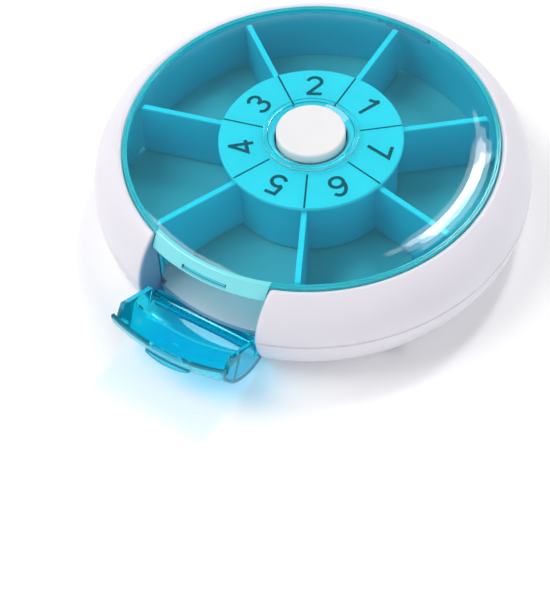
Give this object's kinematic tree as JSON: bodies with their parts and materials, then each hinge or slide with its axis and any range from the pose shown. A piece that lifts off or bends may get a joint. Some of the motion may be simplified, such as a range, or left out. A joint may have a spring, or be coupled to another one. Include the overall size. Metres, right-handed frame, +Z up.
{
  "type": "weekly pill dispenser",
  "caption": "Round push-button pill box: a button steps a wheel of daily compartments past a hinged chute door in the rim.",
  "frame": {"origin": "on the wheel's axis, on the flat base where the box stands", "axes": "+Z up along the wheel's axis, -Y towards the door, +X to the right of someone facing the door"},
  "size_m": [0.115, 0.1265, 0.0298],
  "materials": {
    "white_shell": "satin white moulded plastic",
    "white_inner": "matt white moulded plastic",
    "turquoise": "satin turquoise moulded plastic",
    "clear_cyan": "glossy clear tinted plastic",
    "natural_plastic": "natural low-friction plastic",
    "spring_steel": "drawn wire",
    "zinc_steel": "bright zinc plate"
  },
  "bodies": {
    "housing": {"lower_shell": "white_shell", "upper_ring": "white_shell", "floor_plate": "white_inner", "drum_wall": "turquoise", "top_cover": "clear_cyan", "housing_screws": "zinc_steel", "door_hinge_pin": "zinc_steel", "wheel_washer": "natural_plastic", "detent_spring": "natural_plastic", "detent_screw": "zinc_steel"},
    "button": {"button_cap": "white_shell", "plunger": "white_inner", "stop_washer": "zinc_steel", "plunger_screw": "zinc_steel", "return_spring": "spring_steel"},
    "driver": {"drive_sleeve": "natural_plastic", "pawl_ring": "natural_plastic", "spring_washer": "zinc_steel"},
    "wheel": {"compartment_wheel": "turquoise", "number_disc": "turquoise"},
    "door": {"door": "clear_cyan"}
  },
  "joints": [
    {"name": "button_press", "type": "slide", "parent": "housing", "child": "button", "axis": [0, 0, -1], "range_m": [0, 0.0035], "stiffness_N_per_m": 600, "springref_m": -0.002, "deforming": ["return_spring"]},
    {"name": "driver_turn", "type": "hinge", "parent": "housing", "child": "driver", "pos_m": [0, 0, 0.0127], "axis": [0, 0, 1], "range_deg": [-51.6, 0]},
    {"name": "wheel_turn", "type": "hinge", "parent": "driver", "child": "wheel", "pos_m": [0, 0, 0.0117], "axis": [0, 0, 1], "continuous": true, "deforming": ["pawl_ring", "detent_spring"]},
    {"name": "door_hinge", "type": "hinge", "parent": "housing", "child": "door", "pos_m": [0, -0.05, 0.0042], "axis": [1, 0, 0], "range_deg": [-62.5, 0]}
  ],
  "couplings": [
    {"joint": "driver_turn", "follows": "button_press", "rad_per_m": -256.46}
  ]
}
